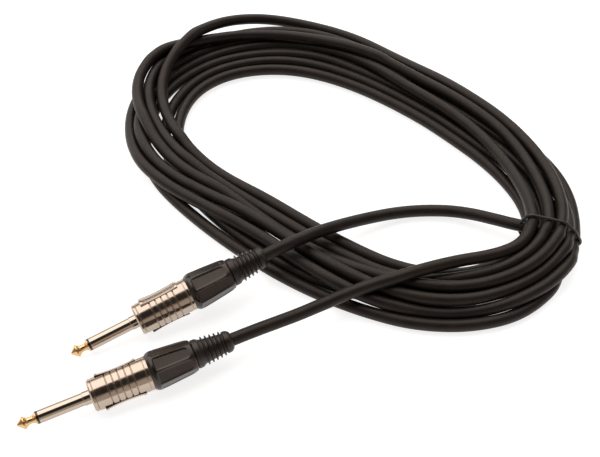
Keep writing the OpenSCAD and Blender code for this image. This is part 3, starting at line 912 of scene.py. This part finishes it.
print("grip panel, mm above the axis at its middle:", round(panel_height(PANEL["front"] + 10, 0), 2))

# %% Mesh of a grip panel


def grip_panel(name, end, upside_down):
    """A closed pad: a skin of small squares, with walls that step in above the shell."""
    xs = np.arange(PANEL["front"], PANEL["back"] + 1e-6, PANEL_STEP)
    half = PANEL["wide"] / 2
    ys = half * np.sin(np.linspace(-math.pi / 2, math.pi / 2, PANEL_COLUMNS))
    place = laid(end) @ Matrix.Rotation(math.pi if upside_down else 0, 4, "X")
    vertices, maps = [], []
    for x in xs:
        for y in ys:
            vertices.append(place @ Vector((x, y, panel_height(x, y))))
    wide, count = len(ys), len(xs)
    faces = [(i * wide + k, (i + 1) * wide + k, (i + 1) * wide + k + 1, i * wide + k + 1)
             for i in range(count - 1) for k in range(wide - 1)]
    rim = [i * wide for i in range(count)] + [(count - 1) * wide + k for k in range(1, wide)]
    rim += [i * wide + wide - 1 for i in range(count - 2, -1, -1)]
    rim += [k for k in range(wide - 2, 0, -1)]
    middle = (PANEL["front"] + PANEL["back"]) / 2
    rises = {index: panel_height(xs[index // wide], ys[index % wide])
             - math.sqrt(shell_r(xs[index // wide]) ** 2 - ys[index % wide] ** 2) for index in rim}
    for level in range(3):
        for index in rim:
            x, y = xs[index // wide], ys[index % wide]
            if level > 0:
                x += math.copysign(min(UNDERCUT["in"], abs(x - middle)), middle - x) * (
                    index // wide in (0, count - 1))
                y -= math.copysign(min(UNDERCUT["in"], abs(y)), y) * (index % wide in (0, wide - 1))
            foot = math.sqrt(shell_r(x) ** 2 - y * y) + min(UNDERCUT["up"], 0.4 * rises[index])
            z = foot if level < 2 else math.sqrt(FOOT_R**2 - y * y)
            vertices.append(place @ Vector((x, y, z)))
    start, around = count * wide, len(rim)
    for k, index in enumerate(rim):
        m = (k + 1) % around
        faces.append((index, start + k, start + m, rim[m]))
        for level in range(2):
            a, b = start + level * around, start + (level + 1) * around
            faces.append((a + k, b + k, b + m, a + m))
    faces.append(tuple(start + 2 * around + k for k in range(around))[::-1])
    piece = make_piece(f"{name}_{end}", vertices, faces, nickel_shell, sharp=50)
    layer = piece.data.uv_layers.new(name="place")
    for loop_item in piece.data.loops:
        index = loop_item.vertex_index
        index = index if index < start else rim[(index - start) % around]
        layer.data[loop_item.index].uv = (MM * ys[index % wide], MM * xs[index // wide])
    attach(piece, "cable")
    return piece


# %% Grip panels
for end in PLUGS:
    panels = [grip_panel("grip_panel_top", end, False), grip_panel("grip_panel_low", end, True)]
    print("grip panels", end, "faces:", sum(len(p.data.polygons) for p in panels))

# %% [markdown]
# ## The bushing
# The bushing is a black nut with eight long flat facets for the fingers. It screws into the shell
# and squeezes the clamp onto the cable. A barrel whose radius is held back by each facet's plane,
# with the two blended over most of a millimetre, gives facets with soft moulded edges. A shallow
# panel with round corners is sunk in each facet.

# %% Bushing sizes
BUSHING_L = 22.6
BUSHING_R = 19.4 / 2
BUSHING_FRONT_R = 17.4 / 2
BUSHING_REAR_R = 15.0 / 2
FACETS = 8
FACET_R = (9.0, 7.75)
SWELL = 3.2
BUSHING_REST = math.radians(14)
SPIGOT_L = 7.5
SPIGOT_R = 13.8 / 2
SEAM = 0.3
CHUCK_R = (5.0, 4.2)
CHUCK_ENDS = (-2.0, 5.0)
BOOT_NECK = {"front": 16.6, "r": 5.0, "flange_r": 6.0, "flange": (17.7, 19.5)}
TURN_GAP = 0.08
SEAT_GAP = 0.15
CABLE_WAY_R = 3.6
print("flats near the front, mm across:", 2 * FACET_R[0])

# %% Facets
PANEL_EDGE = {"side": 0.4, "front": 2.4, "back": 2.9, "corner": 1.3, "slope": 0.6, "deep": 0.2}


def soft_min(a, b, blend=0.5):
    """The smaller of two values, with a rounded corner where they meet."""
    h = max(blend - abs(a - b), 0) / blend
    return min(a, b) - h * h * blend / 4


def facet_shape(r, x, angle):
    """Holds the barrel's radius back to the nearest facet's plane, with a sunk panel in it."""
    if x < 0.3 or r < BUSHING_REAR_R - 1 or x > BUSHING_L - SEAM - 0.02:
        return r
    turn = (angle - BUSHING_REST + math.pi / FACETS) % (2 * math.pi / FACETS) - math.pi / FACETS
    slope = (FACET_R[0] - FACET_R[1]) / (BUSHING_L - 2 * SWELL)
    plane = FACET_R[0] - slope * (x - SWELL)
    run_out = max(SWELL - x, 0) * 0.9
    held = soft_min(r, plane / math.cos(turn) + run_out)
    edge = PANEL_EDGE
    length = BUSHING_L - edge["front"] - edge["back"]
    wide = plane * math.tan(math.pi / FACETS) - edge["side"]
    past_end = abs(x - edge["front"] - length / 2) - length / 2 + edge["corner"]
    past_side = abs(held * math.sin(turn)) - wide + edge["corner"]
    outside = math.hypot(max(past_end, 0), max(past_side, 0)) - edge["corner"]
    outside += min(max(past_end, past_side), 0)
    sunk = min(max(-outside / edge["slope"], 0), 1)
    return held - edge["deep"] * sunk * sunk * (3 - 2 * sunk)


print("radius in a facet's sunk panel, mm:", round(facet_shape(BUSHING_R, 8, BUSHING_REST), 2))


# %% Profile of the bushing


def bushing_profile():
    outline = [(0.35, BUSHING_FRONT_R), (SWELL * 0.4, 9.3), (SWELL * 0.8, BUSHING_R - 0.1),
               (SWELL * 1.3, BUSHING_R), (BUSHING_L * 0.42, BUSHING_R - 0.15),
               (BUSHING_L * 0.68, BUSHING_R - 0.6), (BUSHING_L * 0.86, BUSHING_R - 1.2),
               (BUSHING_L - 0.9, BUSHING_REAR_R + 0.25)]
    at, radii = [p[0] for p in outline], [[p[1]] for p in outline]
    xs = np.concatenate([np.linspace(at[0], 5, 24)[:-1], np.linspace(5, BUSHING_L - 6, 24)[:-1],
                         np.linspace(BUSHING_L - 6, at[-1], 24)])
    barrel = [(float(r[0]), float(x)) for x, r in zip(xs, curve_through(radii, at, xs))]
    root_r = SPIGOT_R - 0.3
    spigot = rounded([(CHUCK_R[0] + SEAT_GAP, -SPIGOT_L), (root_r - 0.15, -SPIGOT_L, 0.3),
                      (root_r, -SPIGOT_L + 0.5), (root_r, 0.05),
                      (BUSHING_FRONT_R - 0.3, 0.05, 0.2)])
    back = BUSHING_L - SEAM
    neck, flange = BOOT_NECK["r"] + TURN_GAP, BOOT_NECK["flange_r"] + TURN_GAP
    flange_x = BOOT_NECK["flange"]
    inside = [(BUSHING_REAR_R - 0.1, back - 0.25), (BUSHING_REAR_R - 0.4, back, 0.15),
              (neck, back, 0.1), (neck, flange_x[1] + TURN_GAP), (flange, flange_x[1] + TURN_GAP),
              (flange, flange_x[0] - TURN_GAP), (neck, flange_x[0] - TURN_GAP),
              (neck, BOOT_NECK["front"] - TURN_GAP), (CABLE_WAY_R, BOOT_NECK["front"] - TURN_GAP),
              (CABLE_WAY_R, CHUCK_ENDS[1] + SEAT_GAP),
              (CHUCK_R[1] + SEAT_GAP, CHUCK_ENDS[1] + SEAT_GAP),
              (CHUCK_R[0] + SEAT_GAP, CHUCK_ENDS[0])]
    return spigot + barrel + rounded(inside)


print("rings in the bushing's profile:", len(bushing_profile()))

# %% Thread


def thread_ridge(end):
    """The helical ridge on the spigot, with ends that run out."""
    place = laid(end, rolled=False)
    per_turn, pitch, turns, depth, run_out = 48, 1.0, 6.2, 0.32, 12
    count = int(per_turn * turns)
    vertices = []
    for k in range(count + 1):
        angle = 2 * math.pi * k / per_turn
        x = -SPIGOT_L + 0.75 + pitch * k / per_turn
        rise = depth * min(1, k / run_out, (count - k) / run_out) + 0.001
        for out, along in ((-0.05, -0.42), (rise, -0.08), (rise, 0.08), (-0.05, 0.42)):
            r = SPIGOT_R - depth + out
            vertices.append(place @ Vector((x + along, -r * math.sin(angle),
                                            r * math.cos(angle))))
    faces, maps = grid_faces(count + 1, 4)
    ridge = make_piece(f"thread_{end}", vertices, faces, abs_black)
    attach(ridge, f"bushing_body_{end}")
    return ridge


# %% Bushing pieces
for end in PLUGS:
    bushing = turned("bushing_nut", bushing_profile(), end, abs_black, shape=facet_shape,
                     rolled=False, around=256)
    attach(bushing, f"bushing_body_{end}")
    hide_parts(f"bushing_{end}")
    ridge = thread_ridge(end)
    print("bushing", end, "faces:", len(bushing.data.polygons), "thread:", len(ridge.data.polygons))

# %% [markdown]
# ## The boot
# The boot is a soft sleeve that keeps the cable from bending sharply at the plug. Five ribs make
# it stiff in steps. It turns in the bushing's rear, so the cable doesn't twist when the bushing
# is screwed in. It is one turned profile, to which a loop adds the ribs.

# %% Boot piece
BOOT_L = 19.2
BOOT_FRONT_R = 14.5 / 2
BOOT_REAR_R = 9.4 / 2
BOOT_STEP = 0.8
BOOT_COLLAR_R = 10.9 / 2
BOOT_RIBS = {"count": 5, "start": 4.8, "pitch": 2.2, "rise": 1.2, "thick": 1.0}
BOOT_HOLE_R = CABLE / 2 + 0.1


def boot_profile():
    front = BUSHING_L
    ribs = BOOT_RIBS
    collar = front + ribs["start"] + (ribs["count"] - 1) * ribs["pitch"] + ribs["thick"] + 0.5
    end = front + BOOT_L

    def body_r(x):
        share = (x - front) / (collar - front)
        return BOOT_FRONT_R - BOOT_STEP + (BOOT_REAR_R - BOOT_FRONT_R + BOOT_STEP) * share

    flange = BOOT_NECK["flange"]
    profile = [(BOOT_HOLE_R, BOOT_NECK["front"]), (BOOT_NECK["r"], BOOT_NECK["front"]),
               (BOOT_NECK["r"], flange[0]), (BOOT_NECK["flange_r"], flange[0]),
               (BOOT_NECK["flange_r"], flange[1]), (BOOT_NECK["r"], flange[1]),
               (BOOT_NECK["r"], front), (BOOT_FRONT_R - 0.1, front, 0.35),
               (BOOT_FRONT_R - 0.15, front + 2.4, 0.5), (body_r(front + 3.6) + 0.2, front + 3.6, 0.5)]
    for k in range(ribs["count"]):
        x = front + ribs["start"] + k * ribs["pitch"]
        top = body_r(x) + ribs["rise"]
        back = x + ribs["thick"]
        profile += [(body_r(x), x, 0.25), (top, x + 0.3 * ribs["thick"], 0.2),
                    (top, x + 0.7 * ribs["thick"], 0.2), (body_r(back), back, 0.25)]
    profile += [(body_r(collar), collar, 0.2), (BOOT_COLLAR_R, collar + 0.3, 0.3),
                (BOOT_COLLAR_R, end - 1.8, 0.9), (4.2, end - 0.2, 0.5), (BOOT_HOLE_R, end, 0.15)]
    return rounded(profile)


for end in PLUGS:
    boot = turned("boot_sleeve", boot_profile(), end, rubber_black, rolled=False)
    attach(boot, f"boot_body_{end}")
    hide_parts(f"boot_{end}")
    print("boot", end, "faces:", len(boot.data.polygons))

# %% [markdown]
# ## The pieces inside the shell
# The pieces that the shell hides keep the shapes of the CAD model, which are right as they are.
# Each gets the finish of its real material, for the views with the bushing unscrewed.

# %% Finishes for the inner pieces
INNER = {"rod_tube": nylon_pale, "insulator": nylon_pale, "ground_lug": tinned_brass,
         "tip_lug": tinned_brass, "core": core_plastic, "screen": copper, "liner": liner_film,
         "chuck": nylon_black}

for node, material in INNER.items():
    for end in PLUGS:
        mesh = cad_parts[f"{node}_{end}"].data
        mesh.materials.clear()
        mesh.materials.append(material)
print("inner pieces finished:", 2 * len(INNER))

# %% [markdown]
# ## The table and the light
# The cable lies on a table of opal acrylic that is lit from below a little, so that it stays white
# without hard shadows. Bright metal shows what is around it. So there is one long softbox above
# and behind, a pale wall low in front, dim walls, and a dark cloth by the camera. All of it is
# drawn in the world's own nodes as a function of direction: that lights and reflects as a real
# studio would.

# %% Table
TABLE_WIDE = 6.0
TABLE_TOP = -0.0001


def table_material():
    material, tree, shader = new_material("opal_acrylic", "#b4b4b3", 0.6)
    shader.inputs["Emission Color"].default_value = linear("#ffffff")
    shader.inputs["Emission Strength"].default_value = 0.8
    grain = noise(tree, coordinates(tree), 1.0, detail=3)
    vary(tree, shader, "Roughness", grain, 0.55, 0.65)
    return material


bpy.ops.mesh.primitive_plane_add(size=TABLE_WIDE, location=(0, 0, TABLE_TOP))
table = bpy.context.active_object
table.name = "table"
table.data.materials.append(table_material())
print("table in metres:", TABLE_WIDE)

# %% Directions of the softbox, the cloth and the wall
SOFTBOX_AT = Vector((-0.2, 0.34, 0.92)).normalized()
SOFTBOX_WIDE = Vector((0.33, -0.88, 0.36))
SOFTBOX_LONG = SOFTBOX_AT.cross(SOFTBOX_WIDE).normalized()
SOFTBOX_EDGES = {"front": (0.24, 0.36), "back": (-0.62, -0.85), "long": (0.5, 0.85)}
CLOTH_AT = Vector((0.14, -0.43, 0.89))
CLOTH_EDGES = (0.95, 0.7)
WALL_AT = Vector((0.39, -0.91, 0.1))
WALL_EDGES = (0.94, 0.75)
print("softbox direction:", [round(v, 2) for v in SOFTBOX_AT])

# %% Room
world = bpy.data.worlds.new("studio")
world.use_nodes = True
bpy.context.scene.world = world
tree = world.node_tree
direction = add_node(tree, "ShaderNodeTexCoord").outputs["Generated"]


def how_far(axis):
    """How far a direction lies along an axis, from -1 to 1."""
    return add_node(tree, "ShaderNodeVectorMath", {"operation": "DOT_PRODUCT"},
                    {0: direction, 1: tuple(axis)}).outputs["Value"]


def inside(value, edges):
    """1 on the inner side of the first edge, 0 beyond the second, and soft between them."""
    return add_node(tree, "ShaderNodeMapRange", {"interpolation_type": "SMOOTHSTEP"}, {
        "Value": value, "From Min": edges[0], "From Max": edges[1], "To Min": 1.0,
        "To Max": 0.0}).outputs["Result"]


def both(a, b):
    return add_node(tree, "ShaderNodeMath", {"operation": "MULTIPLY"}, {0: a, 1: b}).outputs[0]


def glow(colour, strength):
    return add_node(tree, "ShaderNodeBackground", links={
        "Color": linear(colour), "Strength": strength}).outputs["Background"]


def mixed(share, a, b):
    return add_node(tree, "ShaderNodeMixShader", links={0: share, 1: a, 2: b}).outputs[0]


above = add_node(tree, "ShaderNodeMath", {"operation": "GREATER_THAN"},
                 {0: how_far(SOFTBOX_AT), 1: 0.0}).outputs[0]
wide, sideways = how_far(SOFTBOX_WIDE), how_far(SOFTBOX_LONG)
either_side = add_node(tree, "ShaderNodeMath", {"operation": "ABSOLUTE"}, {0: sideways}).outputs[0]
softbox = both(both(above, inside(either_side, SOFTBOX_EDGES["long"])),
               both(inside(wide, SOFTBOX_EDGES["front"]), inside(wide, SOFTBOX_EDGES["back"])))
room = mixed(inside(how_far(CLOTH_AT), CLOTH_EDGES), glow("#fff4ea", 0.3), glow("#fff0e0", 0.04))
room = mixed(inside(how_far(WALL_AT), WALL_EDGES), room, glow("#fff2e8", 0.6))
room = mixed(softbox, room, glow("#fffcfa", 2.25))
tree.links.new(room, tree.nodes["World Output"].inputs["Surface"])
tree.nodes.remove(tree.nodes["Background"])
bpy.context.scene.view_settings.view_transform = "Standard"
bpy.context.scene.view_settings.look = "None"
print("nodes that draw the room:", len(tree.nodes))
